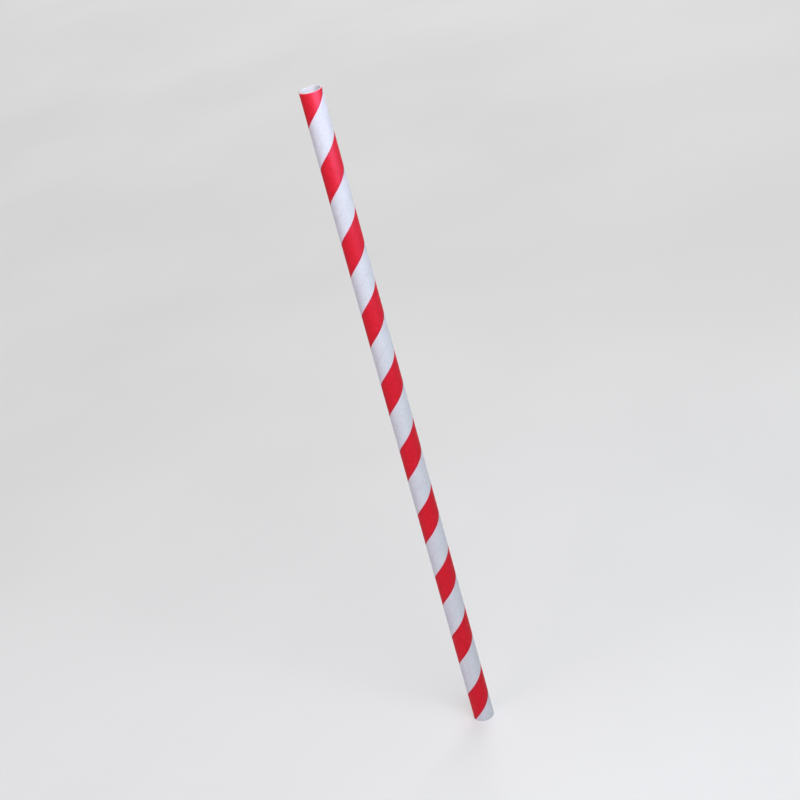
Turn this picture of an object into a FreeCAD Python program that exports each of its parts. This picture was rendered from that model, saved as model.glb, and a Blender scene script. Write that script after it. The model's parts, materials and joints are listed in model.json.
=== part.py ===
import FreeCAD, Part
import math
import os

# A striped paper drinking straw standing on its end, in millimetres.
# +Z is up, towards its mouth, and the origin is the middle of the end that it stands on.
# Angles round it are in degrees, from +X towards +Y.

# Driving dimensions
length = 197.0            # from one cut end to the other
outside_diameter = 6.0
wall = 0.45               # all the wound plies together
rim_rounding = 0.06       # how far the cut softens each edge of the two rims
lead = 20.9               # how far the outer strip climbs in one turn, as a strip about 14 wide does
white_share = 0.535       # part of the strip's width that is left white, the rest is printed red
white_angle = 354.0       # where the first edge of the white band meets the mouth
seam_width = 0.16         # the strip's own edges stop this far apart at the surface
seam_depth = 0.05
meeting_gap = 0.0001      # turns of the seam closer than this run on as one

outside_radius = outside_diameter / 2
bore_radius = outside_radius - wall
full_turn = 360.0
red_angle = white_angle + white_share * full_turn
seam_angle = white_angle + white_share / 2 * full_turn    # along the middle of the white band

centre = FreeCAD.Vector(0, 0, 0)
outward = FreeCAD.Vector(1, 0, 0)
up = FreeCAD.Vector(0, 0, 1)


def section_point(radius, height):
    """A point of the wall's section, which is drawn on the +X side."""
    return outward * radius + up * height


def section_line(radius_from, height_from, radius_to, height_to):
    """Straight side of the section."""
    return Part.LineSegment(section_point(radius_from, height_from), section_point(radius_to, height_to)).toShape()


def section_corner(radius, height, radius_side, height_side):
    """Quarter round at a corner of the section, whose arc bulges to the given sides of its centre."""
    slant = math.sqrt(0.5) * rim_rounding
    on_rim = section_point(radius, height + height_side * rim_rounding)
    middle = section_point(radius + radius_side * slant, height + height_side * slant)
    on_wall = section_point(radius + radius_side * rim_rounding, height)
    return Part.Arc(on_rim, middle, on_wall).toShape()


def plain_tube():
    """The wound wall as one piece, with its two rims softly cut."""
    bottom = rim_rounding
    top = length - rim_rounding
    inner = bore_radius + rim_rounding
    outer = outside_radius - rim_rounding
    sides = [
        section_line(inner, 0, outer, 0),
        section_corner(outer, bottom, 1, -1),
        section_line(outside_radius, bottom, outside_radius, top),
        section_corner(outer, top, 1, 1),
        section_line(outer, length, inner, length),
        section_corner(inner, top, -1, 1),
        section_line(bore_radius, top, bore_radius, bottom),
        section_corner(inner, bottom, -1, -1),
    ]
    section = Part.Face(Part.Wire(sides))
    return section.revolve(centre, up, full_turn)


def strip_edge():
    """One right-handed turn of the line that an edge of the strip follows, starting on the +X side."""
    return Part.makeHelix(lead, lead, outside_radius).Edges[0]


def seam_cutter():
    """One turn of the wedge that opens the seam, twice as high as the seam is deep."""
    climb = FreeCAD.Vector(0, math.pi * outside_diameter, lead).normalize()
    across = climb.cross(outward)
    surface = outward * outside_radius
    floor = surface - outward * seam_depth
    top = surface + outward * seam_depth
    wedge = Part.makePolygon([floor, top - across * seam_width, top + across * seam_width, floor])
    return Part.Wire(strip_edge()).makePipeShell([wedge], True, True)


def each_turn(one_turn, mouth_angle):
    """Copies of one turn, end to end from above the mouth to below the foot, meeting the mouth at an angle."""
    turns = math.ceil(length / lead) + 1
    above_mouth = length + lead / 2
    copies = []
    for turn in range(1, turns + 1):
        copy = one_turn.copy()
        copy.rotate(centre, up, mouth_angle + full_turn / 2)
        copy.translate(up * (above_mouth - turn * lead))
        copies.append(copy)
    return copies


def paper_straw():
    """The tube with the two edges of its printed stripe marked on it and its seam opened."""
    stripe_edges = each_turn(strip_edge(), white_angle) + each_turn(strip_edge(), red_angle)
    marked = plain_tube().generalFuse(stripe_edges)[0].Solids[0]
    return marked.cut(each_turn(seam_cutter(), seam_angle), meeting_gap).Solids[0]


os.makedirs("parts", exist_ok=True)
paper_straw().exportStep("parts/paper_straw.step")
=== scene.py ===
import json
import math

import bmesh
import bpy
from mathutils import Matrix, Vector


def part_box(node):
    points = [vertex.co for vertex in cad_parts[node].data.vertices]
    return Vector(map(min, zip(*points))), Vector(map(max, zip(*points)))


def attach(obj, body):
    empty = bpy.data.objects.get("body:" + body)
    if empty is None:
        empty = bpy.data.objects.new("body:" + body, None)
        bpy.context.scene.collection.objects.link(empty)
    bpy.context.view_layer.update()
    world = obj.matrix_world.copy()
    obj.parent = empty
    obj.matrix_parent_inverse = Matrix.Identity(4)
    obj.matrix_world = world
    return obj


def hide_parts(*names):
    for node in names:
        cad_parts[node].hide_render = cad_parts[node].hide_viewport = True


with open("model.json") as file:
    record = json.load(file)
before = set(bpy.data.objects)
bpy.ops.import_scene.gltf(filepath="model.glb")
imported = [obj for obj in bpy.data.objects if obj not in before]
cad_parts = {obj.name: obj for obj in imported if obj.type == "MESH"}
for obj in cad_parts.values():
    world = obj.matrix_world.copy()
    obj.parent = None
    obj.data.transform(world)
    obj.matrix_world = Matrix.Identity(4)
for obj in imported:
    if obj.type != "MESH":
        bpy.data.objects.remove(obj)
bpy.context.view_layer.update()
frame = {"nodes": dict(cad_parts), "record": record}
strawNode = "paper_straw"
print("frame loaded:", ", ".join(frame["nodes"]))


# Sizes that the frame already holds

low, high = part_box(strawNode)
strawLength = high.z - low.z
outerRadius = (high.x - low.x) / 2
boreMount = next(m for m in frame["record"]["mounts"] if m["name"] == "bore")
boreRadius = boreMount["dims"]["r_mm"] / 1000
wall = outerRadius - boreRadius
midWall = outerRadius - wall / 2
millimetre = 0.001


# Working in edit mode

def deselectAll():
    if bpy.context.object and bpy.context.object.mode != "OBJECT":
        bpy.ops.object.mode_set(mode="OBJECT")
    bpy.ops.object.select_all(action="DESELECT")


def takeUp(piece):    # the only one selected, and active
    deselectAll()
    piece.select_set(True)
    bpy.context.view_layer.objects.active = piece


def editWith(kind):    # kind is VERT, EDGE or FACE
    bpy.ops.object.mode_set(mode="EDIT")
    bpy.ops.mesh.select_mode(type=kind)
    bpy.ops.mesh.select_all(action="DESELECT")


def pick(kind, wanted):    # selects what the test says, and nothing else
    mesh = bpy.context.object.data
    shape = bmesh.from_edit_mesh(mesh)
    parts = {"VERT": shape.verts, "EDGE": shape.edges, "FACE": shape.faces}[kind]
    for part in parts:
        part.select_set(False)
    for part in parts:
        if wanted(part):
            part.select_set(True)
    bmesh.update_edit_mesh(mesh)


def applyModifier(piece, kind, **values):
    modifier = piece.modifiers.new(kind.title(), kind)
    for name, value in values.items():
        setattr(modifier, name, value)
    bpy.ops.object.modifier_apply(modifier=modifier.name)


def applyPlace():
    bpy.ops.object.transform_apply(location=True, rotation=True, scale=True)


# The straw

strawMake = {
    "columns": 80,              # lengthwise lines round the wall before it is wound
    "cuts": 20,                 # across its length, and as many again in each stretch
    "rimRounding": 0.06 * millimetre,
    "rimSteps": 4,
    "turnLength": 20.9 * millimetre,    # climb of the winding in one turn
    "whiteAngle": 354.0,        # degrees from +X towards +Y where the white band starts at the mouth
    "whiteShare": 0.535,
    "seamWidth": 0.16 * millimetre,
    "seamDepth": 0.05 * millimetre,
    "seamLip": 0.008 * millimetre,      # how far the strip's two edges stand up beside the seam
    "plyRidges": {130: 0.010 * millimetre, 235: 0.007 * millimetre},    # degrees from the seam
    "waves": 0.016 * millimetre,
    "waveSize": 3.5 * millimetre,
    "rimFray": 0.07 * millimetre,
    "rimFraySize": 0.35 * millimetre,
    "smoothAngle": 28,          # degrees
}


def wallSection():    # a long thin plate with rounded corners, standing beside the straw's axis
    deselectAll()
    bpy.ops.mesh.primitive_plane_add(size=1, rotation=(math.pi / 2, 0, 0))
    plate = bpy.context.object
    plate.name = "wound_straw"
    plate.scale = (wall, strawLength, 1)
    plate.location = (midWall, 0, 0)
    applyPlace()
    editWith("VERT")
    bpy.ops.mesh.select_all(action="SELECT")
    bpy.ops.mesh.bevel(offset=strawMake["rimRounding"], segments=strawMake["rimSteps"],
                       affect="VERTICES")
    bpy.ops.mesh.select_all(action="SELECT")
    bpy.ops.mesh.delete(type="ONLY_FACE")
    return plate


def spinWall():    # the section goes round the axis and closes on itself
    bpy.ops.mesh.select_all(action="SELECT")
    bpy.ops.mesh.spin(steps=strawMake["columns"], angle=2 * math.pi, center=(0, 0, 0), axis=(0, 0, 1))
    bpy.ops.mesh.select_all(action="SELECT")
    bpy.ops.mesh.remove_doubles(threshold=1e-7)
    bpy.ops.mesh.normals_make_consistent(inside=False)


def openSeam():    # five lines where there was one: lip, edge, floor, edge, lip
    tiny = 1e-6
    lipPlace = strawMake["seamWidth"]
    near = 0.2 * lipPlace

    def onSeam(vert):
        return abs(vert.co.y) < tiny and vert.co.x > 0

    pick("EDGE", lambda edge: all(onSeam(vert) for vert in edge.verts))
    bpy.ops.mesh.bevel(offset=lipPlace, segments=4, affect="EDGES")
    bpy.ops.mesh.select_mode(type="VERT")
    pick("VERT", lambda vert: onSeam(vert) and vert.co.x > midWall)
    bpy.ops.transform.translate(value=(-strawMake["seamDepth"], 0, 0))
    for side in (-1, 1):
        pick("VERT", lambda vert: abs(vert.co.y - side * lipPlace) < near and vert.co.x > midWall)
        bpy.ops.transform.translate(value=(strawMake["seamLip"], 0, 0))


def raisePlies():    # the edges of the plies underneath show through as faint ridges
    near = 0.2 * strawMake["rimRounding"]
    step = 360 / strawMake["columns"]
    for fromSeam, height in strawMake["plyRidges"].items():
        angle = math.radians(round(fromSeam / step) * step)
        outward = Vector((math.cos(angle), math.sin(angle), 0))
        line = outward * outerRadius
        pick("VERT", lambda vert: (vert.co.xy - line.xy).length < near)
        bpy.ops.transform.translate(value=outward * height)


def divideLength():    # short stretches, so that the winding can turn
    bpy.ops.mesh.select_mode(type="EDGE")
    cuts = strawMake["cuts"]
    for stretches in (1, cuts + 1):
        longest = strawLength / stretches
        pick("EDGE", lambda edge: abs(edge.verts[0].co.z - edge.verts[1].co.z) > longest / 2)
        bpy.ops.mesh.subdivide(number_cuts=cuts)


def slotOf(face):    # 0 outer wall, 1 cut rim, 2 bore
    rimSlope = 0.6
    middle = face.calc_center_median()
    outward = Vector((middle.x, middle.y, 0)).normalized()
    if abs(face.normal.z) > rimSlope:
        return 1
    return 0 if face.normal.dot(outward) > 0 else 2


def stripMap(piece):    # the strip laid flat, in millimetres: u across it from the seam, v along it
    mesh = piece.data
    shape = bmesh.from_edit_mesh(mesh)
    layer = shape.loops.layers.uv.new("strip")
    fullTurn = 2 * math.pi
    for face in shape.faces:
        face.material_index = slotOf(face)
        radius = boreRadius if face.material_index == 2 else outerRadius
        slope = math.atan2(fullTurn * radius, strawMake["turnLength"])
        middle = face.calc_center_median()
        faceAngle = math.atan2(middle.y, middle.x) % fullTurn
        for corner in face.loops:
            place = corner.vert.co
            angle = math.atan2(place.y, place.x)
            angle += fullTurn * round((faceAngle - angle) / fullTurn)
            around = angle * radius
            u = around * math.cos(slope)
            v = place.z / math.cos(slope) + around * math.sin(slope)
            corner[layer].uv = (u / millimetre, v / millimetre)
    bmesh.update_edit_mesh(mesh)


def groupOf(piece, name, wanted):    # a vertex group of the points that the test picks
    piece.vertex_groups.new(name=name)
    bpy.ops.mesh.select_mode(type="VERT")
    pick("VERT", wanted)
    bpy.ops.object.vertex_group_assign()


def cloudTexture(name, size):
    texture = bpy.data.textures.new(name, "CLOUDS")
    texture.noise_scale = size
    texture.noise_depth = 2
    return texture


def roughen(piece, name, size, strength, direction, group):
    applyModifier(piece, "DISPLACE", texture=cloudTexture(name, size), strength=strength,
                  direction=direction, vertex_group=group, texture_coords="LOCAL")


def windStraw():
    piece = wallSection()
    spinWall()
    openSeam()
    raisePlies()
    divideLength()
    bpy.ops.mesh.select_mode(type="FACE")
    stripMap(piece)
    rimStart = strawLength / 2 - 1.5 * strawMake["rimRounding"]
    groupOf(piece, "rims", lambda vert: abs(vert.co.z) > rimStart)
    groupOf(piece, "outer", lambda vert: abs(vert.co.z) < rimStart and vert.co.xy.length > midWall)
    takeUp(piece)
    roughen(piece, "slack_winding", strawMake["waveSize"], strawMake["waves"], "NORMAL", "outer")
    roughen(piece, "cut_fibres", strawMake["rimFraySize"], strawMake["rimFray"], "Z", "rims")
    turns = strawLength / strawMake["turnLength"]
    applyModifier(piece, "SIMPLE_DEFORM", deform_method="TWIST", deform_axis="Z",
                  angle=turns * 2 * math.pi)
    seamAtMouth = strawMake["whiteAngle"] + strawMake["whiteShare"] * 180
    piece.rotation_euler.z = math.radians(seamAtMouth - turns * 180)
    piece.location.z = strawLength / 2
    applyPlace()
    bpy.ops.object.shade_smooth_by_angle(angle=math.radians(strawMake["smoothAngle"]))
    return piece


straw = windStraw()
print("straw wound:", len(straw.data.polygons), "faces")


# Materials

def addNode(tree, kind, inputs=None, **settings):
    node = tree.nodes.new(kind)
    for name, value in settings.items():
        setattr(node, name, value)
    for name, value in (inputs or {}).items():
        socket = node.inputs[name]
        if isinstance(value, bpy.types.NodeSocket):
            tree.links.new(value, socket)
        else:
            socket.default_value = value
    return node


def calculate(tree, operation, *values):
    node = addNode(tree, "ShaderNodeMath", operation=operation)
    for socket, value in zip(node.inputs, values):
        if isinstance(value, bpy.types.NodeSocket):
            tree.links.new(value, socket)
        else:
            socket.default_value = value
    return node.outputs["Value"]


def ramp(tree, value, fromLow, fromHigh, toLow=0.0, toHigh=1.0):    # clamped, with soft ends
    node = addNode(tree, "ShaderNodeMapRange", {"Value": value}, interpolation_type="SMOOTHSTEP")
    ends = {"From Min": fromLow, "From Max": fromHigh, "To Min": toLow, "To Max": toHigh}
    for name, number in ends.items():
        node.inputs[name].default_value = number
    return node.outputs["Result"]


def mixColour(tree, share, first, second):
    node = addNode(tree, "ShaderNodeMix", data_type="RGBA")
    for name, value in {"Factor_Float": share, "A_Color": first, "B_Color": second}.items():
        socket = next(one for one in node.inputs if one.identifier == name)
        if isinstance(value, bpy.types.NodeSocket):
            tree.links.new(value, socket)
        else:
            socket.default_value = value
    return next(one for one in node.outputs if one.identifier == "Result_Color")


even = (1.0, 1.0, 1.0)    # noise that isn't stretched


def noiseAt(tree, place, stretch, scale, detail=2.0, roughness=0.5):
    spread = addNode(tree, "ShaderNodeMapping", {"Vector": place, "Scale": stretch})
    node = addNode(tree, "ShaderNodeTexNoise", {"Vector": spread.outputs["Vector"], "Scale": scale,
                                                "Detail": detail, "Roughness": roughness})
    return node.outputs["Fac"]


def distanceFrom(tree, value, line):
    return calculate(tree, "ABSOLUTE", calculate(tree, "SUBTRACT", value, line))


def unevenRough(tree, value, made):    # roughness about its middle, as the value says
    least = made["rough"] - made["roughSpread"] / 2
    return calculate(tree, "MULTIPLY_ADD", value, made["roughSpread"], least)


def newMaterial(name):
    material = bpy.data.materials.new(name)
    material.use_nodes = True
    material.node_tree.nodes.clear()
    return material, material.node_tree


fibreMake = {
    "alongScale": (9.0, 1.3, 1.0),      # per millimetre, across and along the strip
    "crossScale": (1.7, 7.0, 1.0),      # the fewer fibres that lie the other way
    "cloudScale": 0.55,
    "grainScale": 11.0,
    "fibreShare": 0.45,
    "crossShare": 0.2,
    "cloudShare": 0.12,
    "grainShare": 0.23,
}


def makeFibreGroup():    # pulp fibres in millimetres: how light each spot is, and how high
    group = bpy.data.node_groups.new("paper_fibre", "ShaderNodeTree")
    group.interface.new_socket("Place", in_out="INPUT", socket_type="NodeSocketVector")
    for name in ("Tone", "Height", "Cloud"):
        group.interface.new_socket(name, in_out="OUTPUT", socket_type="NodeSocketFloat")
    entry = group.nodes.new("NodeGroupInput")
    place = entry.outputs["Place"]
    along = noiseAt(group, place, fibreMake["alongScale"], 1.0, 3.0, 0.6)
    cross = noiseAt(group, place, fibreMake["crossScale"], 1.0, 3.0, 0.6)
    cloud = noiseAt(group, place, even, fibreMake["cloudScale"], 3.0)
    grain = noiseAt(group, place, even, fibreMake["grainScale"], 2.0)
    fibre = calculate(group, "MULTIPLY_ADD", cross, fibreMake["crossShare"],
                      calculate(group, "MULTIPLY", along, fibreMake["fibreShare"]))
    height = calculate(group, "MULTIPLY_ADD", grain, fibreMake["grainShare"], fibre)
    tone = calculate(group, "MULTIPLY_ADD", cloud, fibreMake["cloudShare"], height)
    leaving = group.nodes.new("NodeGroupOutput")
    group.links.new(tone, leaving.inputs["Tone"])
    group.links.new(height, leaving.inputs["Height"])
    group.links.new(cloud, leaving.inputs["Cloud"])
    return group


fibreGroup = makeFibreGroup()


def fibreNode(tree, place):
    node = tree.nodes.new("ShaderNodeGroup")
    node.node_tree = fibreGroup
    tree.links.new(place, node.inputs["Place"])
    return node


mattGloss = 0.2    # specular level of all the papers and the floor


def paperShader(tree, colour, roughness, height, depth):
    bump = addNode(tree, "ShaderNodeBump", {"Height": height, "Distance": depth, "Strength": 1.0})
    shader = addNode(tree, "ShaderNodeBsdfPrincipled",
                     {"Base Color": colour, "Roughness": roughness,
                      "Specular IOR Level": mattGloss, "Normal": bump.outputs["Normal"]})
    leaving = tree.nodes.new("ShaderNodeOutputMaterial")
    tree.links.new(shader.outputs["BSDF"], leaving.inputs["Surface"])
    return shader


printMake = {
    "paperLight": (0.87, 0.89, 0.97, 1),
    "paperDark": (0.70, 0.72, 0.79, 1),
    "paperTones": (0.36, 0.60),         # fibre tones that give the dark and the light colour
    "inkLight": (0.94, 0.014, 0.040, 1),
    "inkDark": (0.72, 0.005, 0.016, 1),
    "inkTones": (0.38, 0.62),
    "inkEdge": 0.012,           # millimetres over which the ink ends
    "inkWobble": 0.09,
    "wobbleScale": (2.6, 2.6, 1.0),
    "inkPooled": (0.36, 0.012, 0.035, 1),
    "poolWidth": 0.36,          # millimetres inside the ink's edge where it lies thicker
    "poolShade": 0.8,
    "paperBled": (1.0, 0.72, 0.84, 1),
    "bleedWidth": 0.55,         # millimetres outside it that its oil has reached
    "bleedShare": 0.9,
    "missed": (0.86, 0.20, 0.25, 1),    # fibres that the ink didn't quite reach
    "missedTones": (0.60, 0.68),
    "missedShare": 0.35,
    "glue": (0.52, 0.50, 0.50, 1),      # shows faintly beside the seam
    "glueReach": (0.03, 0.22),
    "glueShare": 0.16,
    "bareRim": 0.045,           # millimetres at the cut where fibres have lost their ink
    "bareScale": 2600,          # per metre
    "bareStretch": (1.0, 1.0, 0.25),
    "bareShare": 0.75,
    "rough": 0.74,
    "inkRough": 0.50,
    "roughSpread": 0.4,
    "fibreHeight": 0.012 * millimetre,
}

outerSlope = math.atan2(2 * math.pi * outerRadius, strawMake["turnLength"])
stripWidth = 2 * math.pi * outerRadius * math.cos(outerSlope) / millimetre


def distanceFromStripMiddle(tree, strip):
    across = addNode(tree, "ShaderNodeSeparateXYZ", {"Vector": strip}).outputs["X"]
    return distanceFrom(tree, across, stripWidth / 2)


def pastInkEnd(tree, strip):    # millimetres out of the printed stripe, whose edge is slightly uneven
    inkEnd = stripWidth * (1 - strawMake["whiteShare"]) / 2 + printMake["inkWobble"] / 2
    wobble = noiseAt(tree, strip, printMake["wobbleScale"], 1.0, 4.0, 0.65)
    edge = calculate(tree, "MULTIPLY_ADD", wobble, printMake["inkWobble"],
                     distanceFromStripMiddle(tree, strip))
    return calculate(tree, "SUBTRACT", edge, inkEnd)


def inkShare(tree, past):    # 1 in the printed stripe
    return ramp(tree, past, -printMake["inkEdge"], printMake["inkEdge"], 1.0, 0.0)


def wornShare(tree, place):    # where the fibres at the two cuts have lost their ink
    heightUp = addNode(tree, "ShaderNodeSeparateXYZ", {"Vector": place}).outputs["Z"]
    fromMid = distanceFrom(tree, heightUp, strawLength / 2)
    fromRim = calculate(tree, "SUBTRACT", strawLength / 2, fromMid)
    fromRim = calculate(tree, "MULTIPLY", fromRim, 1 / millimetre)
    frayed = noiseAt(tree, place, printMake["bareStretch"], printMake["bareScale"], 3.0)
    reach = calculate(tree, "MULTIPLY", frayed, 2 * printMake["bareRim"])
    bare = calculate(tree, "LESS_THAN", fromRim, reach)
    return calculate(tree, "MULTIPLY", bare, printMake["bareShare"])


def inkColour(tree, tone, past):
    tones = ramp(tree, tone, *printMake["inkTones"])
    inked = mixColour(tree, tones, printMake["inkDark"], printMake["inkLight"])
    missed = ramp(tree, tone, *printMake["missedTones"], 0.0, printMake["missedShare"])
    inked = mixColour(tree, missed, inked, printMake["missed"])
    pooled = ramp(tree, past, -printMake["poolWidth"], 0.0, 0.0, printMake["poolShade"])
    return mixColour(tree, pooled, inked, printMake["inkPooled"])


def paperColour(tree, tone, past, strip):
    tones = ramp(tree, tone, *printMake["paperTones"])
    paper = mixColour(tree, tones, printMake["paperDark"], printMake["paperLight"])
    fromSeam = calculate(tree, "SUBTRACT", stripWidth / 2, distanceFromStripMiddle(tree, strip))
    glue = ramp(tree, fromSeam, *printMake["glueReach"], printMake["glueShare"], 0.0)
    paper = mixColour(tree, glue, paper, printMake["glue"])
    bled = ramp(tree, past, 0.0, printMake["bleedWidth"], printMake["bleedShare"], 0.0)
    return mixColour(tree, bled, paper, printMake["paperBled"])


def makePrintedPaper():
    material, tree = newMaterial("printed_paper_outside")
    strip = addNode(tree, "ShaderNodeUVMap", uv_map="strip").outputs["UV"]
    fibre = fibreNode(tree, strip)
    tone, height = fibre.outputs["Tone"], fibre.outputs["Height"]
    past = pastInkEnd(tree, strip)
    place = addNode(tree, "ShaderNodeTexCoord").outputs["Object"]
    kept = calculate(tree, "SUBTRACT", 1.0, wornShare(tree, place))
    ink = calculate(tree, "MULTIPLY", inkShare(tree, past), kept)
    colour = mixColour(tree, ink, paperColour(tree, tone, past, strip), inkColour(tree, tone, past))
    smoother = calculate(tree, "MULTIPLY", ink, printMake["inkRough"] - printMake["rough"])
    rough = calculate(tree, "ADD", unevenRough(tree, tone, printMake), smoother)
    paperShader(tree, colour, rough, height, printMake["fibreHeight"])
    return material


rimMake = {
    "light": (0.88, 0.88, 0.90, 1),
    "dark": (0.70, 0.69, 0.70, 1),
    "tones": (0.38, 0.60),
    "plies": 3,
    "plyWander": 0.5,
    "glue": (0.45, 0.43, 0.42, 1),      # the lines between the plies
    "glueShare": 0.25,
    "glueStart": 0.36,          # of a ply, from its middle
    "stainLeast": 0.15,         # of the outer ply's ink, drawn in by the cut
    "stainMost": 0.65,
    "stainPlies": (0.9, 3.0),   # from the bore
    "rough": 0.75,
    "roughSpread": 0.2,
    "fibreHeight": 0.03 * millimetre,
}


def makeCutRim():
    material, tree = newMaterial("printed_paper_cut_rim")
    place = addNode(tree, "ShaderNodeTexCoord").outputs["Object"]
    perMillimetre = addNode(tree, "ShaderNodeMapping", {"Vector": place, "Scale": [1 / millimetre] * 3})
    fibre = fibreNode(tree, perMillimetre.outputs["Vector"])
    tone, cloud = fibre.outputs["Tone"], fibre.outputs["Cloud"]
    axes = addNode(tree, "ShaderNodeSeparateXYZ", {"Vector": place})
    flat = addNode(tree, "ShaderNodeCombineXYZ", {"X": axes.outputs["X"], "Y": axes.outputs["Y"]})
    radius = addNode(tree, "ShaderNodeVectorMath", {0: flat.outputs["Vector"]}, operation="LENGTH")
    depth = calculate(tree, "SUBTRACT", radius.outputs["Value"], boreRadius)
    ply = calculate(tree, "MULTIPLY", depth, rimMake["plies"] / wall)
    ply = calculate(tree, "MULTIPLY_ADD", cloud, rimMake["plyWander"], ply)
    fromMid = distanceFrom(tree, calculate(tree, "FRACT", ply), 0.5)
    glue = ramp(tree, fromMid, rimMake["glueStart"], 0.5, 0.0, rimMake["glueShare"])
    colour = mixColour(tree, ramp(tree, tone, *rimMake["tones"]), rimMake["dark"], rimMake["light"])
    colour = mixColour(tree, glue, colour, rimMake["glue"])
    strip = addNode(tree, "ShaderNodeUVMap", uv_map="strip").outputs["UV"]
    ink = inkShare(tree, pastInkEnd(tree, strip))
    drawnIn = ramp(tree, ply, *rimMake["stainPlies"], rimMake["stainLeast"], rimMake["stainMost"])
    colour = mixColour(tree, calculate(tree, "MULTIPLY", ink, drawnIn), colour, printMake["inkLight"])
    rough = unevenRough(tree, tone, rimMake)
    paperShader(tree, colour, rough, fibre.outputs["Height"], rimMake["fibreHeight"])
    return material


boreMake = {
    "light": (0.80, 0.78, 0.81, 1),
    "dark": (0.72, 0.70, 0.72, 1),
    "tones": (0.38, 0.60),
    "join": (0.48, 0.45, 0.42, 1),      # where the inner ply meets itself
    "joinAt": 0.8,              # of that ply's width, from the outer seam
    "joinWidth": 0.15,          # millimetres
    "joinShare": 0.40,
    "rough": 0.62,
    "roughSpread": 0.3,
    "fibreHeight": 0.015 * millimetre,
}


def makeBorePaper():
    material, tree = newMaterial("printed_paper_bore")
    strip = addNode(tree, "ShaderNodeUVMap", uv_map="strip").outputs["UV"]
    fibre = fibreNode(tree, strip)
    tone = fibre.outputs["Tone"]
    across = addNode(tree, "ShaderNodeSeparateXYZ", {"Vector": strip}).outputs["X"]
    slope = math.atan2(2 * math.pi * boreRadius, strawMake["turnLength"])
    plyWidth = 2 * math.pi * boreRadius * math.cos(slope) / millimetre
    fromJoin = distanceFrom(tree, across, plyWidth * boreMake["joinAt"])
    colour = mixColour(tree, ramp(tree, tone, *boreMake["tones"]), boreMake["dark"], boreMake["light"])
    join = ramp(tree, fromJoin, 0.0, boreMake["joinWidth"], boreMake["joinShare"], 0.0)
    colour = mixColour(tree, join, colour, boreMake["join"])
    rough = unevenRough(tree, tone, boreMake)
    paperShader(tree, colour, rough, fibre.outputs["Height"], boreMake["fibreHeight"])
    return material


for makeMaterial in (makePrintedPaper, makeCutRim, makeBorePaper):
    straw.data.materials.append(makeMaterial())
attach(straw, "root")
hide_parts(strawNode)
print("straw dressed:", ", ".join(slot.name for slot in straw.data.materials))


# Floor

floorMake = {
    "size": 12.0,
    "drop": 0.03 * millimetre,    # so that the rim's fibres don't pierce it
    "light": (0.61, 0.61, 0.61, 1),
    "dark": (0.58, 0.58, 0.58, 1),
    "cloudScale": 6.0,          # per metre
    "cloudTones": (0.3, 0.7),
    "grainScale": 900.0,
    "grainHeight": 0.02 * millimetre,
    "rough": 0.8,
    "roughSpread": 0.1,
    "paler": 0.50,              # for the camera alone, so that the straw gets no more light
}


def makeFloor():
    deselectAll()
    bpy.ops.mesh.primitive_plane_add(size=floorMake["size"], location=(0, 0, low.z - floorMake["drop"]))
    floor = bpy.context.object
    floor.name = "floor"
    applyPlace()
    material, tree = newMaterial("matt_floor")
    place = addNode(tree, "ShaderNodeTexCoord").outputs["Object"]
    cloud = noiseAt(tree, place, even, floorMake["cloudScale"], 3.0)
    grain = noiseAt(tree, place, even, floorMake["grainScale"], 2.0)
    clouds = ramp(tree, cloud, *floorMake["cloudTones"])
    colour = mixColour(tree, clouds, floorMake["dark"], floorMake["light"])
    rough = unevenRough(tree, grain, floorMake)
    shader = paperShader(tree, colour, rough, grain, floorMake["grainHeight"])
    seen = addNode(tree, "ShaderNodeLightPath").outputs["Is Camera Ray"]
    paler = calculate(tree, "MULTIPLY", seen, floorMake["paler"])
    glow = addNode(tree, "ShaderNodeEmission", {"Color": colour, "Strength": paler})
    both = addNode(tree, "ShaderNodeAddShader", {0: shader.outputs["BSDF"], 1: glow.outputs["Emission"]})
    leaving = next(node for node in tree.nodes if node.type == "OUTPUT_MATERIAL")
    tree.links.new(both.outputs["Shader"], leaving.inputs["Surface"])
    floor.data.materials.append(material)


makeFloor()
print("floor laid")


# Camera, at the photograph's viewing angle

cameraMake = {
    "focal": 1867.0,            # pixels, in a square frame of 800
    "frame": 800,
    "sensor": 36.0,
    "mouthPixel": (310.2, 89.4),
    "mouthDistance": 0.4696,
    "nearest": 0.01,
    "lean": 15.49,              # degrees from the picture's vertical
    "tilt": 26.58,              # degrees away from the viewer, towards the foot
    "aside": -3.9,              # degrees round the straw, seen from above
}


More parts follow.
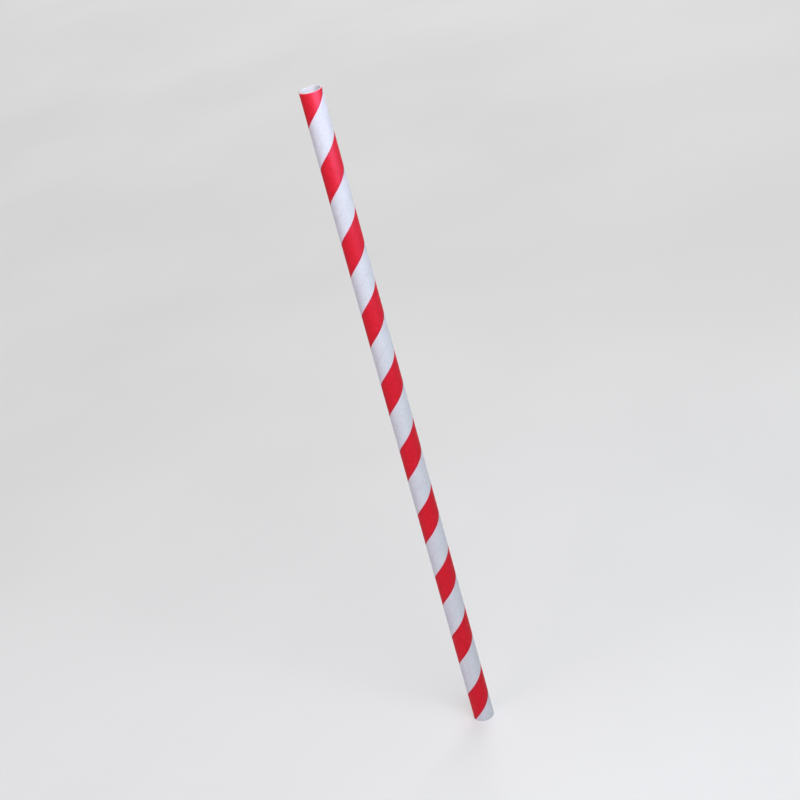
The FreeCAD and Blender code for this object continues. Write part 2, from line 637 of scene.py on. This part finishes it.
def makeCamera():
    half = cameraMake["frame"] / 2
    mouthX, mouthY = cameraMake["mouthPixel"]
    mouthSeen = Vector((mouthX - half, half - mouthY, -cameraMake["focal"])).normalized()
    mouthSeen *= cameraMake["mouthDistance"]
    lean, tilt = math.radians(cameraMake["lean"]), math.radians(cameraMake["tilt"])
    up = -Vector((math.sin(lean) * math.cos(tilt), -math.cos(lean) * math.cos(tilt), -math.sin(tilt)))
    away = mouthSeen - up * mouthSeen.dot(up)
    away.normalize()
    right = away.cross(up)
    aside = Matrix.Rotation(math.radians(cameraMake["aside"]), 3, "Z")
    turn = aside @ Matrix((right, away, up))    # from the camera's directions to the frame's
    mouth = Vector((0, 0, strawLength))
    data = bpy.data.cameras.new("camera")
    data.sensor_width = cameraMake["sensor"]
    data.lens = cameraMake["focal"] * cameraMake["sensor"] / cameraMake["frame"]
    data.clip_start = cameraMake["nearest"]
    camera = bpy.data.objects.new("camera", data)
    bpy.context.scene.collection.objects.link(camera)
    camera.matrix_world = Matrix.Translation(mouth - turn @ mouthSeen) @ turn.to_4x4()
    bpy.context.scene.camera = camera
    print("camera at", [round(value, 3) for value in camera.location])


makeCamera()


# Light

lightMake = {
    "key": {"at": (0.075, -0.207, 0.36), "size": 0.20, "watts": 0.71, "colour": (0.84, 0.95, 1.0)},
    "sheen": {"at": (0.042, -0.066, 0.214), "size": 0.10, "watts": 0.88, "colour": (0.78, 0.52, 1.0)},
    "fill": {"at": (-0.70, -0.50, 0.55), "size": 0.6, "watts": 2.0, "colour": (1.0, 0.76, 0.88)},
    "back": {"at": (0.75, 1.40, 1.00), "size": 1.2, "watts": 13.0, "colour": (1.0, 0.99, 0.98)},
    "glossOnly": "sheen",
    "mattOnly": "back",         # so that it draws no bright line along the straw's edge
    "aim": (0, 0, 0.17),
    "world": 0.30,
    "worldColour": (1.0, 1.0, 1.0, 1),
    "horizon": 0.50,            # what the camera sees of the world, as pale as the floor's far end
}


def makeLight(name):
    made = lightMake[name]
    data = bpy.data.lights.new(name, "AREA")
    data.size = made["size"]
    data.energy = made["watts"]
    data.color = made["colour"]
    lamp = bpy.data.objects.new(name, data)
    bpy.context.scene.collection.objects.link(lamp)
    lamp.location = made["at"]
    backwards = lamp.location - Vector(lightMake["aim"])
    lamp.rotation_euler = backwards.to_track_quat("Z", "Y").to_euler()
    lamp.visible_camera = False
    lamp.visible_diffuse = name != lightMake["glossOnly"]
    lamp.visible_glossy = name != lightMake["mattOnly"]


def makeWorld():
    world = bpy.data.worlds.new("studio")
    world.use_nodes = True
    tree = world.node_tree
    background = tree.nodes["Background"]
    background.inputs["Color"].default_value = lightMake["worldColour"]
    seen = addNode(tree, "ShaderNodeLightPath").outputs["Is Camera Ray"]
    strength = calculate(tree, "MULTIPLY_ADD", seen, lightMake["horizon"] - lightMake["world"],
                         lightMake["world"])
    tree.links.new(strength, background.inputs["Strength"])
    bpy.context.scene.world = world


for lampName in ("key", "sheen", "fill", "back"):
    makeLight(lampName)
makeWorld()
bpy.context.scene.view_settings.view_transform = "Standard"
print("lamps hung")
